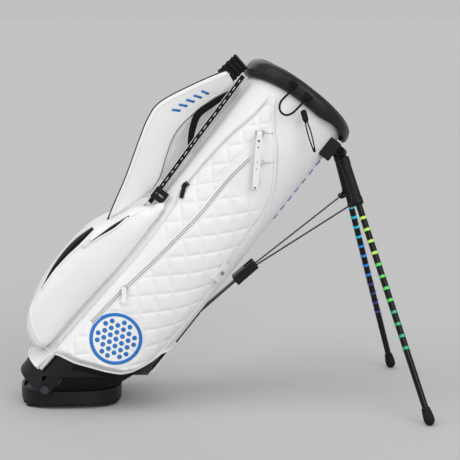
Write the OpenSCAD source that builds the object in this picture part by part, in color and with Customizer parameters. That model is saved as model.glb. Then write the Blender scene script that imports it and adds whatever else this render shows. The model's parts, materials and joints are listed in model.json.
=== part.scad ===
// Golf stand bag, leaning on its hinged sole and two fold-out legs.
// Row frame: +X from the sole to the feet, +Z up, floor at Z = 0, mid-plane Y = 0.
// Bag frame: origin on the heel hinge, X towards the underside, Z along the tube.

/* [Stance] */
// Lean of the tube from upright, in degrees
lean = 38.5; // [30:0.5:42]
// Height of the heel hinge above the floor
hinge_z = 44; // [40:1:50]
// Place of the heel hinge along X
hinge_x = -370.5; // [-420:0.5:-330]

/* [Tube] */
// Half the outer width of the tube
tube_r = 115; // [105:1:125]
// Squareness of the tube's section, 2 is round
tube_n = 2.4; // [2:0.1:3]
// Offset of the tube's middle from the heel hinge
tube_u = 50; // [40:1:60]
// Thickness of the foam-backed wall
wall = 4; // [3:0.5:6]
// Height of the tube's top edge along the tube
tube_top = 800; // [760:5:820]

/* [Legs] */
// Distance of the leg hinges from the heel hinge along the tube
leg_w = 775; // [765:1:785]
// Distance of the leg hinges outwards from the heel hinge
leg_u = 184; // [182:1:190]
// Distance of each leg hinge from the mid-plane
leg_v = 45; // [42:1:50]
// Skew of the leg hinge pins, in degrees
leg_skew = 26; // [20:1:30]
// Opening of the legs from their folded place, in degrees
leg_open = 58; // [50:1:62]
// Radius of the leg tube
leg_r = 6.75; // [6:0.25:8]
// Radius of the rubber foot's round end
foot_r = 11; // [10:0.5:13]
// Number of coloured bands on each leg
band_count = 12; // [8:1:14]
// Spacing of the coloured bands
band_pitch = 26; // [20:1:28]

/* [Push rod] */
// Distance of the rod's crossbar ahead of the heel hinge
rod_u = 79; // [70:1:85]
// Height of the crossbar above the hinge line
rod_h = 11; // [8:1:14]
// Radius of the crossbar and of the hinge pins
pin_r = 4; // [3:0.5:5]

/* [Sole] */
// Length of the sole ahead of the heel hinge
sole_front = 160; // [150:1:170]
// Length of the sole behind the heel hinge
sole_back = 54; // [45:1:56]
// Half the width of the sole
sole_half = 98; // [90:1:100]

/* [Hidden] */

fit = 0.05;                 // radial clearance of a running pin
gap = 0.4;                  // air between soft neighbours
steps = 64;                 // points round the tube's section
white = [0.9, 0.9, 0.91];
black = [0.08, 0.08, 0.09];
blue = [0.1, 0.43, 0.77];
steel = [0.6, 0.61, 0.63];

// ---- placing ----
module bag() {
    translate([hinge_x, 0, hinge_z]) rotate([0, lean, 0]) children();
}

// side: -1 is the right leg (towards -Y), 1 is the left leg; the leg runs down -Z
module leg(side) {
    bag() translate([leg_u, side * leg_v, leg_w])
        rotate(a = -leg_open, v = [-side * sin(leg_skew), cos(leg_skew), 0]) children();
}

// horizontal slab of the resting bag, between two heights over the hinge line
module slab(low, high) {
    translate([hinge_x - 300, -300, hinge_z + low]) cube([900, 600, high - low]);
}

// ---- the tube's section ----
function power(value, index) = sign(value) * pow(abs(value), index);
function section(angle, r, n = tube_n) =
    [tube_u + r * power(cos(angle), 2 / n), r * power(sin(angle), 2 / n)];

module oval(r) {
    polygon([for (i = [0:steps - 1]) section(i * 360 / steps, r)]);
}

// part of the wall between two angles, 0 is the underside and 180 the spine
module arc_wall(from, to, r_in, r_out, count = 12) {
    polygon(concat(
        [for (i = [0:count]) section(from + (to - from) * i / count, r_out)],
        [for (i = [count:-1:0]) section(from + (to - from) * i / count, r_in)]));
}

// everything below the white body's bottom edge
module below_edge(extra = 0) {
    edge = [[-70, 52], [-44, 73], [103, 125], [150, 190], [200, 225]];
    translate([0, 300, extra]) rotate([90, 0, 0])
        linear_extrude(600) polygon(concat([[-250, 40]], edge, [[200, -200], [-250, -200]]));
}

module panel(from, to) {
    bag() difference() {
        linear_extrude(tube_top) arc_wall(from, to, tube_r - wall, tube_r);
        below_edge();
        rod_slot();
    }
}

// slot in the underside wall where the slide rod's guide sits
module rod_slot() {
    translate([tube_u + tube_r - 12, -15, -10]) cube([30, 30, 370]);
}

module panel_right() { color(white) panel(-135, -45); }
module panel_left() { color(white) panel(45, 135); }
module panel_spine() { color(white) panel(135, 225); }
module panel_underside() { color(white) panel(-45, 45); }

// ---- inside the tube ----
bar = 9;
module divider_frame() {
    color(black) bag() translate([0, 0, tube_top - 30]) {
        linear_extrude(26) difference() {
            oval(tube_r - wall - gap);
            oval(tube_r - wall - gap - 7);
        }
        linear_extrude(26) intersection() {
            oval(tube_r - wall - 3);
            union() {
                translate([tube_u - bar / 2, -150]) square([bar, 300]);
                translate([tube_u - 150, -bar / 2]) square([300, bar]);
            }
        }
    }
}

panel_t = 2;
floor_top = 112;
module divider_panels() {
    color([0.3, 0.3, 0.32]) difference() {
        bag() linear_extrude(tube_top - 30 - gap) intersection() {
            oval(tube_r - wall - 12);
            union() {
                translate([tube_u - panel_t / 2, -150]) square([panel_t, 300]);
                translate([tube_u - 150, -panel_t / 2]) square([300, panel_t]);
            }
        }
        slab(-400, floor_top + gap);
    }
}

// closed ring swept round the tube: radius, place and height are given at each angle
function cuff_rise(angle) = 30 * pow(abs(sin(angle)), 1.6);
// share of the cuff's lower edge that is cut away over the leg bracket
function cuff_lift(angle) = max(0, min(1, (75 - abs(angle > 180 ? 360 - angle : angle)) / 20));
function cuff_low(angle, z) = z < 0 ? z * (1 - 0.75 * cuff_lift(angle)) - 0.3 * cuff_rise(angle) : z;
function cuff_ring(angle) = [
    for (p = [[1, -22], [9, -20], [13, -8], [13, 8], [9, 19], [2, 23], [-9, 17], [-4, 0]])
    concat(section(angle, tube_r + p[0]), tube_top - 4 + cuff_rise(angle) + cuff_low(angle, p[1]))];

module ring_solid(count, sides, points) {
    polyhedron(points = points, faces = [
        for (i = [0:count - 1]) for (j = [0:sides - 1])
            let (a = i * sides + j, b = i * sides + (j + 1) % sides,
                c = ((i + 1) % count) * sides + j, d = ((i + 1) % count) * sides + (j + 1) % sides)
            each [[a, b, c], [b, d, c]]]);
}

module top_cuff() {
    color(black) bag() difference() {
        ring_solid(48, 8, [for (i = [0:47]) each cuff_ring(i * 7.5)]);
        translate([0, 0, 700]) linear_extrude(tube_top - 700 + gap) oval(tube_r + gap);
    }
}

// ---- base of the tube ----
sole_top = 30;
collar_low = 28;
collar_high = 118;
heel_low = -13;
module base_collar() {
    color(black) difference() {
        union() {
            difference() {
                bag() translate([0, 0, heel_low]) linear_extrude(330) difference() {
                    oval(tube_r - wall - gap);
                    oval(tube_r - wall - gap - 6);
                }
                slab(-200, -2);
                slab(collar_high, 600);
                translate([hinge_x - 5, -200, 0]) cube([600, 400, hinge_z + collar_low]);
                bag() rod_slot();
            }
            for (s = [-1, 1]) hinge_ear(s);
        }
        translate([hinge_x, 0, hinge_z]) rotate([90, 0, 0]) {
            cylinder(h = 300, r = pin_r + fit, center = true, $fn = 48);
            for (s = [-1, 1]) translate([0, 0, s * (ear_in + ear_t + 15.2)])
                cylinder(h = 30, r = 9.5, center = true, $fn = 48);
        }
    }
}

ear_in = 90;
ear_t = 9;
module hinge_ear(side) {
    y = side > 0 ? ear_in : -ear_in - ear_t;
    bag() {
        translate([0, y + ear_t, 0]) rotate([90, 0, 0]) cylinder(h = ear_t, r = 12, $fn = 48);
        translate([-12, y, 0]) cube([24, ear_t, 62]);
    }
}

module tube_floor() {
    color([0.2, 0.2, 0.2]) intersection() {
        bag() translate([0, 0, -60]) linear_extrude(380) difference() {
            oval(tube_r - wall - gap - 6 - gap);
            translate([tube_u + tube_r - 14, -17]) square([30, 34]);
        }
        slab(floor_top - 6, floor_top);
    }
}

// outline of the sole, shrunk by an inset
function sole_point(angle, inset = 0) = [
    hinge_x + (sole_front - sole_back) / 2
        + ((sole_front + sole_back) / 2 - inset) * power(cos(angle), 0.78),
    (sole_half - inset) * power(sin(angle), 0.78)];

// where the tube's section meets a horizontal plane over the hinge line
function level_point(angle, r, h) = let (p = section(angle, r))
    [hinge_x + p[0] / cos(lean) + h * tan(lean), p[1], hinge_z + h];

gusset_r = 84;
gusset_inset = 22;
gusset_t = 3;
module base_gusset() {
    color(black) difference() {
        ring_solid(48, 4, [for (i = [0:47]) let (a = i * 7.5) each [
            level_point(a, gusset_r, collar_low + 10),
            concat(sole_point(a, gusset_inset), sole_top + 1),
            concat(sole_point(a, gusset_inset + gusset_t), sole_top + 1),
            level_point(a, gusset_r - gusset_t, collar_low + 10)]]);
        translate([hinge_x + 90, -12, hinge_z + rod_h - 9]) cube([140, 24, 60]);
    }
}

// ---- pockets ----
pocket_from = 38;
pocket_to = 136;
pocket_depth = 18;
pocket_top = 492;
// radius of a side pocket's outer face at an angle from the underside
function pocket_r(angle, from, to, depth) =
    tube_r + gap + depth * pow(sin(180 * (angle - from) / (to - from)), 0.5);

module side_pocket(side, from, to, depth, low, high) {
    count = 16;
    outer = [for (i = [0:count]) let (a = from + (to - from) * i / count)
        section(a, pocket_r(a, from, to, depth))];
    inner = [for (i = [count:-1:0]) section(from + (to - from) * i / count, tube_r + gap)];
    bag() mirror([0, side < 0 ? 1 : 0, 0]) difference() {
        translate([0, 0, low]) linear_extrude(high - low) polygon(concat(outer, inner));
        below_edge(6);
    }
}

module pocket_right() { color(white) side_pocket(-1, pocket_from, pocket_to, pocket_depth, 60, pocket_top); }
module pocket_left() { color(white) side_pocket(1, pocket_from, pocket_to, pocket_depth, 60, pocket_top); }

ball_half = [110, 104];
ball_u = -28;
ball_power = 0.8;
function ball_v(u) = ball_half[1] * pow(1 - pow(abs(u - ball_u) / ball_half[0], 2 / ball_power), ball_power / 2);
module ball_pocket() {
    profile = [[-20, 62], [-60, 58], [-100, 72], [-118, 92], [-130, 130], [-137, 215], [-132, 285],
        [-123, 335], [-103, 375], [-80, 412], [-40, 436], [-20, 436]];
    color(white) bag() difference() {
        intersection() {
            translate([0, 110, 0]) rotate([90, 0, 0]) linear_extrude(220) polygon(profile);
            linear_extrude(500) polygon([for (i = [0:47])
                [ball_u + ball_half[0] * power(cos(i * 7.5), ball_power),
                    ball_half[1] * power(sin(i * 7.5), ball_power)]]);
        }
        linear_extrude(900) oval(tube_r + gap);
        for (s = [-1, 1]) linear_extrude(900) polygon(concat([[tube_u, 0]],
            [for (i = [0:6]) section(s * (54 + i * 14), tube_r + 40)]));
    }
}

valuables_from = 64;
valuables_to = 112;
valuables_depth = 9;
module valuables_pocket() {
    color(white) side_pocket(-1, valuables_from, valuables_to, valuables_depth, 500, 745);
}

// ---- zips: each runs from [0] to [1] in the bag frame, its face turned by yaw ----
zip_t = 2;
zip_w = 12;
park = 14;                  // slider's place above the zip's lower end
slider_size = [10, 5, 16];
side_lift = 2.6;            // keeps a flat tape clear of a curved face
upper_lift = 2;
function on_side(side, angle, r, w) = let (p = section(angle, r)) [p[0], side * p[1], w];
function lifted(p, side, lift) = p + [0, side * lift, 0];
function side_zip(side) = [for (e = [[110.2, 262], [99.5, 480]]) lifted(
    on_side(side, e[0], pocket_r(e[0], pocket_from, pocket_to, pocket_depth), e[1]), side, side_lift)];
function valuables_point(angle, w) = lifted(
    on_side(-1, angle, pocket_r(angle, valuables_from, valuables_to, valuables_depth), w), -1, 2);
zip_right = side_zip(-1);
zip_left = side_zip(1);
zip_upper = [lifted(on_side(-1, 132, tube_r + gap, 506), -1, upper_lift),
    lifted(on_side(-1, 118, tube_r + gap, 764), -1, upper_lift)];
zip_ball = [[-112, -ball_v(-112), 165], [-108, -ball_v(-108), 310]];
zip_top = [valuables_point(107, 694), valuables_point(94, 717)];
zip_low = [valuables_point(92.5, 646), valuables_point(79.5, 675)];
ball_yaw = -43;
side_yaw = -12;
upper_yaw = -40;

function zip_turn(z) = let (run = z[1] - z[0]) atan2(run[0], run[2]);
module on_zip(z, yaw = 0) {
    run = z[1] - z[0];
    bag() translate(z[0]) rotate([0, zip_turn(z), 0]) rotate([-asin(run[1] / norm(run)), 0, 0])
        rotate([0, 0, yaw]) children();
}

module tape(z, side, width, yaw = 0) {
    on_zip(z, yaw) translate([-width / 2, side > 0 ? gap : -gap - zip_t, 0]) cube([width, zip_t, norm(z[1] - z[0])]);
}

module zip_tapes_sides() {
    color(white) {
        tape(zip_right, -1, zip_w, side_yaw);
        tape(zip_left, 1, zip_w, -side_yaw);
        tape(zip_upper, -1, 9, upper_yaw);
    }
}
module zip_tapes_ball() { color(black) tape(zip_ball, -1, 10, ball_yaw); }
module zip_tapes_valuables() {
    color(black) {
        tape(zip_top, -1, 8);
        tape(zip_low, -1, 8);
    }
}

// a slider riding just over its tape, with an optional taller bridge
module slider(z, side, yaw = 0, bridge = 0) {
    on_zip(z, yaw) translate([0, side * (2 * gap + zip_t + slider_size[1] / 2), park]) {
        cube(slider_size, center = true);
        if (bridge > 0) translate([0, side * (slider_size[1] + bridge) / 2, 0]) cube([6, bridge, 6], center = true);
    }
}

module slider_right() { color(steel) slider(zip_right, -1, side_yaw); }
module slider_left() { color(steel) slider(zip_left, 1, -side_yaw); }
module slider_upper() { color(steel) slider(zip_upper, -1, upper_yaw); }
module slider_ball() { color(steel) slider(zip_ball, -1, ball_yaw); }
bridge = 11;
module slider_valuables_top() { color(steel) slider(zip_top, -1, 0, bridge); }
module slider_valuables_low() { color(steel) slider(zip_low, -1); }

// a pull that hangs from its slider, as near to straight down as its face allows
module pull(z, side, size, yaw = 0, bridge = 0, extra = 0) {
    angle = lean + zip_turn(z);
    hang = atan2(sin(angle) * cos(yaw), cos(angle));
    on_zip(z, yaw) translate([0, side * (3 * gap + zip_t + slider_size[1] + bridge + size[1] / 2), park])
        rotate([0, extra - hang, 0]) {
            translate([-size[0] / 2, -size[1] / 2, 3 - size[2]]) cube([size[0], size[1], size[2] - 3]);
            rotate([90, 0, 0]) cylinder(h = size[1], r = size[0] / 2, center = true, $fn = 32);
        }
}

small_pull = [9, 2.5, 32];
long_pull = [14, 3, 120];
hook_pull = [9, 3, 44];
long_pull_lean = 8;
module pull_right() { color(white) pull(zip_right, -1, small_pull, side_yaw); }
module pull_left() { color(white) pull(zip_left, 1, small_pull, -side_yaw); }
module pull_upper() { color(black) pull(zip_upper, -1, small_pull, upper_yaw); }
module pull_ball() { color(black) pull(zip_ball, -1, small_pull, ball_yaw); }
module pull_valuables_top() { color(white) pull(zip_top, -1, long_pull, 0, bridge, long_pull_lean); }
module pull_valuables_low() { color(white) pull(zip_low, -1, hook_pull); }

patch_at = [47, 183];
module round_patch() {
    color(blue) bag() translate([patch_at[0], -(tube_r + gap + pocket_depth) - 0.2, patch_at[1]])
        rotate([90, 0, 0]) cylinder(h = 2.5, r = 55, $fn = 96);
}

// ---- swept shapes ----
// point on a smooth curve through the given points; t runs from 0 to len - 1
function curve(p, t) = let (
    i = min(floor(t), len(p) - 2), f = t - i,
    a = p[max(i - 1, 0)], b = p[i], c = p[i + 1], d = p[min(i + 2, len(p) - 1)])
    0.5 * (2 * b + (c - a) * f + (2 * a - 5 * b + 4 * c - d) * f * f
        + (3 * b - a - 3 * c + d) * f * f * f);

function unit(v) = v / norm(v);

// rings of a cross-section carried along a curve; side_dir is the section's width direction
function sweep_rings(p, count, profile, side_dir) = [for (k = [0:count]) let (
    t = (len(p) - 1) * k / count,
    here = curve(p, t),
    run = unit(curve(p, min(t + 0.01, len(p) - 1)) - curve(p, max(t - 0.01, 0))),
    across = unit(side_dir - run * (side_dir * run)),
    up = cross(run, across))
    for (q = profile) here + across * q[0] + up * q[1]];

module sweep(p, count, profile, side_dir) {
    n = len(profile);
    polyhedron(points = sweep_rings(p, count, profile, side_dir), faces = concat(
        [[for (j = [0:n - 1]) j]],
        [[for (j = [n - 1:-1:0]) count * n + j]],
        [for (i = [0:count - 1]) for (j = [0:n - 1])
            let (a = i * n + j, b = i * n + (j + 1) % n, c = a + n, d = b + n)
            each [[b, a, c], [b, c, d]]]));
}

function ring_profile(r, sides) = [for (i = [0:sides - 1]) [r * cos(i * 360 / sides), r * sin(i * 360 / sides)]];
function band_profile(w, t) = [[-w / 2, 0], [-w / 2 + t / 2, -t / 2], [w / 2 - t / 2, -t / 2],
    [w / 2, 0], [w / 2 - t / 2, t / 2], [-w / 2 + t / 2, t / 2]];

// ---- straps (row frame routes) ----
strap_right_route = [[4, -34, 687], [-36, -40, 668], [-92, -46, 630], [-124, -50, 592], [-142, -52, 545],
    [-160, -52, 497], [-186, -50, 440]];
strap_left_route = [[22, 26, 680], [-22, 26, 648], [-66, 26, 606], [-88, 26, 560], [-104, 26, 505],
    [-136, 26, 466]];
strap_w = 70;
strap_t = 14;
module strap_right() {
    color(white) sweep(strap_right_route, 24, band_profile(strap_w, strap_t), [0.75, 0.35, 0.55]);
}
module strap_left() {
    color(black) sweep(strap_left_route, 20, band_profile(46, 10), [0.2, 1, 0.1]);
}

hub_route = [[7, -31, 691], [25, -30, 709], [44, -30, 726]];
module strap_hub() {
    color(black) sweep(hub_route, 6, band_profile(36, 8), [0.5, 0, -0.85]);
}

webbing_route = [[46, -62, 696], [0, -64, 634], [-50, -64, 568], [-104, -62, 494], [-150, -58, 432]];
module strap_webbing() {
    color(black) sweep(webbing_route, 16, band_profile(15, 3), [0.6, -0.7, -0.4]);
}

module webbing_buckle() {
    color(black) translate([-127, -84, 451]) rotate([0, 38, 0]) difference() {
        cube([30, 9, 26], center = true);
        cube([18, 20, 4], center = true);
    }
}

// ---- towel loop and toggle ----
towel_route = [[143, -134, 676], [138, -137, 666], [127, -139, 656], [119, -140, 646], [117, -140, 635],
    [121, -140, 625], [131, -140, 620], [143, -140, 624], [153, -139, 633], [163, -137, 643], [171, -134, 651]];
module towel_cord() {
    color(black) sweep(towel_route, 40, ring_profile(2.2, 8), [0, 1, 0]);
}

module towel_tabs() {
    color(white) for (p = [[146, 682], [176, 656]])
        translate([p[0], -133, p[1]]) rotate([0, 42, 0]) cube([14, 7, 12], center = true);
}

toggle_pin = [166, -141, 626];
toggle_lean = 16;
module toggle_puller() {
    color(black) translate(toggle_pin) rotate([0, -toggle_lean, 0]) {
        translate([0, 0, -20]) cylinder(h = 20, r = 6.5, $fn = 32);
        rotate([90, 0, 0]) cylinder(h = 8, r = 5, center = true, $fn = 32);
        for (x = [-3.5, 3.5]) translate([x, 0, -80]) cylinder(h = 60, r = 1.5, $fn = 16);
        translate([0, 0, -80]) rotate([90, 0, 0]) difference() {
            rotate_extrude($fn = 32) translate([3.5, 0]) circle(r = 1.5, $fn = 16);
            translate([-10, 0, -5]) cube([20, 10, 10]);
        }
    }
}

// outer radius of the right side at an angle, pocket included
function side_r(angle) = angle <= pocket_from ? tube_r : pocket_r(angle, pocket_from, pocket_to, pocket_depth);
keeper_t = 3;
module keeper_strap() {
    color(white) bag() mirror([0, 1, 0]) translate([0, 0, 402]) linear_extrude(44) polygon(concat(
        [for (a = [32:2:58]) section(a, side_r(a) + gap)],
        [for (a = [58:-2:32]) section(a, side_r(a) + gap + keeper_t)]));
}

rivet_angle = 52;
module keeper_rivet() {
    place = section(rivet_angle, side_r(rivet_angle) + gap + keeper_t + 1);
    color(steel) bag() mirror([0, 1, 0]) translate([place[0], place[1], 424])
        rotate([0, 90, rivet_angle]) cylinder(h = 3, r = 4, $fn = 32);
}

// ---- top bracket and legs ----
leg_pin_r = 3;
eye_half = 6;
ear_gap = 0.4;
ear_thick = 4.6;
plate_u = 170;

module skewed(side) {
    translate([leg_u, side * leg_v, leg_w]) rotate([0, 0, side * leg_skew]) children();
}

module leg_bracket() {
    color(black) bag() difference() {
        union() {
            translate([130, -80, 742]) cube([plate_u - 130, 160, 45]);
            for (s = [-1, 1]) skewed(s) for (e = [-1, 1])
                translate([0, e * (eye_half + ear_gap + ear_thick / 2), 0]) rotate([90, 0, 0]) {
                    cylinder(h = ear_thick, r = 9.5, center = true, $fn = 48);
                    translate([-26, -9.5, -ear_thick / 2]) cube([26, 19, ear_thick]);
                }
        }
        linear_extrude(900) oval(tube_r + gap);
        for (s = [-1, 1]) skewed(s) rotate([90, 0, 0]) cylinder(h = 60, r = leg_pin_r, center = true, $fn = 48);
        for (s = [-1, 1]) skewed(s) translate([-13, -eye_half - ear_gap, -40])
            cube([40, 2 * (eye_half + ear_gap), 80]);
    }
}

module leg_pins() {
    color(steel) bag() for (s = [-1, 1]) skewed(s) rotate([90, 0, 0])
        cylinder(h = 2 * (eye_half + ear_gap + ear_thick) + 1, r = leg_pin_r, center = true, $fn = 48);
}

// direction of an opened leg in the row frame
leg_out = [cos(leg_skew) * sin(leg_open), -cos(leg_open)];
leg_fall = leg_out[0] * sin(lean) - leg_out[1] * cos(lean);
leg_top_z = hinge_z - leg_u * sin(lean) + leg_w * cos(lean);
leg_len = (leg_top_z - foot_r) / leg_fall;

housing_top = -14;
housing_len = 106;
tip = [-16, 9, -115];
tip_yaw = 63.92;            // turn of the wire pin about the leg's own axis
tip_pin_r = 1.6;
tip_eye_r = 4.6;

module housing(side) {
    color(black) leg(side) difference() {
        union() {
            rotate([0, 0, side * leg_skew]) {
                rotate([90, 0, 0]) cylinder(h = 2 * eye_half, r = 9, center = true, $fn = 48);
                translate([-7, -eye_half, housing_top - 4]) cube([14, 2 * eye_half, 4 - housing_top]);
            }
            translate([0, 0, housing_top - housing_len]) cylinder(h = housing_len, r = 10.5, $fn = 64);
            for (z = [housing_top - 16, housing_top - housing_len]) translate([0, 0, z])
                cylinder(h = 16, r = 11.5, $fn = 64);
            tip_ears(side);
        }
        rotate([0, 0, side * leg_skew]) rotate([90, 0, 0])
            cylinder(h = 40, r = leg_pin_r + fit, center = true, $fn = 48);
        translate([0, 0, -800]) cylinder(h = 780, r = leg_r, $fn = 64);
    }
}

// two ears and a pin that hold a fork wire
module tip_frame(side) {
    translate([tip[0], -side * tip[1], tip[2]]) rotate([0, 0, -side * tip_yaw]) children();
}

module tip_ears(side) {
    difference() {
        tip_frame(side) for (e = [-1, 1]) translate([e * 5, 0, 0]) {
            rotate([0, 90, 0]) cylinder(h = 3.6, r = tip_eye_r, center = true, $fn = 32);
            translate([-1.8, side < 0 ? -16 : 0, -tip_eye_r]) cube([3.6, 16, 2 * tip_eye_r]);
        }
        translate([0, 0, -200]) cylinder(h = 300, r = 10, $fn = 48);
    }
    tip_frame(side) rotate([0, 90, 0]) cylinder(h = 13.6, r = tip_pin_r, center = true, $fn = 32);
}

module leg_housing_right() { housing(-1); }
module leg_housing_left() { housing(1); }

module tube_of_leg(side) {
    color(black) leg(side) translate([0, 0, -leg_len + 12]) cylinder(h = leg_len - 52, r = leg_r, $fn = 64);
}
module leg_tube_right() { tube_of_leg(-1); }
module leg_tube_left() { tube_of_leg(1); }

band_first = 148;
band_len = 6;
module bands(side, tint) {
    color(tint) leg(side) for (i = [0:band_count - 1])
        translate([0, 0, -band_first - i * band_pitch - band_len]) difference() {
            cylinder(h = band_len, r = leg_r + 0.6, $fn = 48);
            translate([0, 0, -1]) cylinder(h = band_len + 2, r = leg_r, $fn = 48);
        }
}
module leg_bands_right() { bands(-1, [0.45, 0.8, 0.35]); }
module leg_bands_left() { bands(1, [0.1, 0.55, 0.95]); }

module foot(side) {
    color(black) leg(side) translate([0, 0, -leg_len]) difference() {
        union() {
            sphere(r = foot_r, $fn = 64);
            cylinder(h = 8, r = foot_r, $fn = 64);
            translate([0, 0, 8]) cylinder(h = 18, r1 = foot_r, r2 = 8.6, $fn = 64);
        }
        translate([0, 0, 12]) cylinder(h = 30, r = leg_r, $fn = 64);
    }
}
module foot_right() { foot(-1); }
module foot_left() { foot(1); }

// ---- push rod and fork ----
guide_low = 190;
guide_loop = 24;            // closed part of the guide, below its open channel
guide_high = 318;
module rod_guide() {
    color(black) bag() difference() {
        translate([tube_u + tube_r - 11.5, -14.6, guide_low]) cube([15, 29.2, guide_high - guide_low]);
        translate([155.5, -8.6, guide_low - 1]) cube([9.5, 17.2, 200]);
        translate([155.5, -8.6, guide_low + guide_loop]) cube([40, 17.2, 200]);
    }
}

rod_w = 157;                // distance of the slide rod's inner face from the hinge, across the tube
rod_t = 7;
rod_half = 8;
knuckle = [163, 300];
bar_rest_x = hinge_x + rod_u * cos(lean) + (rod_u * tan(lean) + rod_h / cos(lean)) * sin(lean);
module slide_rod() {
    color(steel) difference() {
        union() {
            bag() translate([rod_w, -rod_half, 139]) cube([rod_t, 2 * rod_half, 156 - 4]);
            bag() translate([knuckle[0], 0, knuckle[1]]) rotate([90, 0, 0]) {
                cylinder(h = 7, r = 4.2, center = true, $fn = 32);
                translate([-3.6, -14, -3.4]) cube([7, 14, 6.8]);
            }
            translate([bar_rest_x - 6, 0.5 - rod_half, hinge_z + rod_h - 3]) cube([109, 2 * rod_half - 1, 6]);
            translate([bar_rest_x, 0, hinge_z + rod_h]) rotate([90, 0, 0])
                cylinder(h = 40, r = pin_r, center = true, $fn = 48);
        }
        bag() translate([knuckle[0], 0, knuckle[1]]) rotate([90, 0, 0])
            cylinder(h = 20, r = 2 + fit, center = true, $fn = 32);
    }
}

spring_angle = atan2(190 - knuckle[0], 446 - knuckle[1]);
spring_len = norm([190 - knuckle[0], 446 - knuckle[1]]);
module on_spring() {
    bag() translate([knuckle[0], 0, knuckle[1]]) rotate([0, spring_angle, 0]) children();
}

connector_back = 29;
connector_len = 58;
module spring_rod() {
    color(steel) on_spring() {
        for (e = [-1, 1]) translate([0, e * 5.9, 0]) rotate([90, 0, 0]) {
            cylinder(h = 4, r = 3.6, center = true, $fn = 32);
            translate([-2.5, 0, -2]) cube([5, 20, 4]);
        }
        rotate([90, 0, 0]) cylinder(h = 15, r = 2, center = true, $fn = 32);
        translate([-2.5, -rod_half + 0.1, 10]) cube([5, 2 * rod_half - 0.2, spring_len - connector_back - 10]);
    }
}

mouth_half = [8.6, 19.5];
fold_slot = [10, 34];        // lets the wires swing towards the tube: half width, height
module fork_connector() {
    color(black) on_spring() translate([0, 0, spring_len - connector_back]) difference() {
        translate([-mouth_half[0] - 1.5, -mouth_half[1] - 2, 0])
            cube([2 * mouth_half[0] + 3, 2 * mouth_half[1] + 4, connector_len]);
        translate([-mouth_half[0], -mouth_half[1], 8])
            cube([2 * mouth_half[0], 2 * mouth_half[1], connector_len]);
        translate([-mouth_half[0] - 4, -fold_slot[0], fold_slot[1]])
            cube([mouth_half[0], 2 * fold_slot[0], connector_len]);
    }
}

// turn a point about an axis through the origin
function turn(p, axis, angle) = let (a = unit(axis))
    p * cos(angle) + cross(a, p) * sin(angle) + a * (a * p) * (1 - cos(angle));

// stand a shape's Z axis along a direction
module along(dir) {
    rotate([0, acos(dir[2] / norm(dir)), atan2(dir[1], dir[0])]) children();
}

fork_point = [190, 5, 446];
wire_r = 1.75;
wire_eye_half = 2.8;
function tip_place(side) = [leg_u, side * leg_v, leg_w]
    + turn([tip[0], -side * tip[1], tip[2]], [-side * sin(leg_skew), cos(leg_skew), 0], -leg_open);

module fork_wire(side) {
    start = tip_place(side);
    run = [fork_point[0], side * fork_point[1], fork_point[2]] - start;
    color(steel) {
        bag() translate(start) along(run) translate([0, 0, 3.4]) cylinder(h = norm(run) - 12, r = wire_r, $fn = 32);
        leg(side) tip_frame(side) rotate([0, 90, 0]) difference() {
            cylinder(h = 2 * wire_eye_half, r = tip_eye_r, center = true, $fn = 32);
            cylinder(h = 20, r = tip_pin_r + fit, center = true, $fn = 32);
        }
    }
}
module fork_wire_right() { fork_wire(-1); }
module fork_wire_left() { fork_wire(1); }

// ---- sole ----
plate_low = 12;
rim_top = 38;
heel_sweep = 60;
module sole_outline(inset = 0) {
    polygon([for (i = [0:47]) sole_point(i * 7.5, inset)]);
}

// limits the heel to a round that can turn inside the heel cup
module heel_round() {
    translate([hinge_x, 120, hinge_z]) rotate([90, 0, 0]) cylinder(h = 240, r = heel_sweep, $fn = 96);
    translate([hinge_x, -120, -10]) cube([300, 240, 100]);
}

lug_in = 80;
lug_t = 9.6;
module sole_plate() {
    color([0.1, 0.1, 0.1]) {
        difference() {
            intersection() {
                heel_round();
                union() {
                    translate([0, 0, plate_low]) linear_extrude(sole_top - plate_low) sole_outline();
                    translate([0, 0, plate_low]) linear_extrude(rim_top - plate_low) difference() {
                        sole_outline();
                        sole_outline(5);
                    }
                }
            }
            for (s = [-1, 1]) translate([hinge_x - 16, s > 0 ? ear_in - 0.3 : -130, hinge_z - 12.5])
                cube([32, 130 - ear_in + 0.3, 20]);
        }
        for (s = [-1, 1]) difference() {
            y = s > 0 ? lug_in : -lug_in - lug_t;
            union() {
                translate([hinge_x, y + lug_t, hinge_z]) rotate([90, 0, 0]) cylinder(h = lug_t, r = 11, $fn = 48);
                translate([hinge_x - 11, y, sole_top - 4]) cube([22, lug_t, hinge_z - sole_top + 4]);
            }
            translate([hinge_x, y + lug_t + 1, hinge_z]) rotate([90, 0, 0])
                cylinder(h = lug_t + 2, r = pin_r, $fn = 48);
        }
    }
}

tread_pitch = 18;
tread_depth = 6;
module sole_treads() {
    side_profile = [[-sole_half, 12], [-sole_half + 3, 9], [-62, 0], [62, 0], [sole_half - 3, 9], [sole_half, 12]];
    end_profile = [[-sole_back, 12], [-sole_back + 4, 8], [-36, 0], [124, 0], [sole_front - 6, 5], [sole_front, 12]];
    color(black) difference() {
        intersection() {
            heel_round();
            linear_extrude(plate_low) sole_outline();
            translate([hinge_x - 100, 0, 0]) rotate([90, 0, 90]) linear_extrude(400) polygon(side_profile);
            translate([hinge_x, 150, 0]) rotate([90, 0, 0]) linear_extrude(300) polygon(end_profile);
        }
        for (i = [0:11]) translate([hinge_x - 46 + i * tread_pitch, -150, -1]) cube([6, 300, tread_depth + 1]);
    }
}

module sole_hinge_pins() {
    color(steel) for (s = [-1, 1]) translate([hinge_x, s * 99.4, hinge_z]) rotate([s * 90, 0, 0]) {
        cylinder(h = 99.4 - lug_in, r = pin_r, $fn = 48);
        translate([0, 0, -4]) cylinder(h = 4, r = 9, $fn = 48);
    }
}

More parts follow.
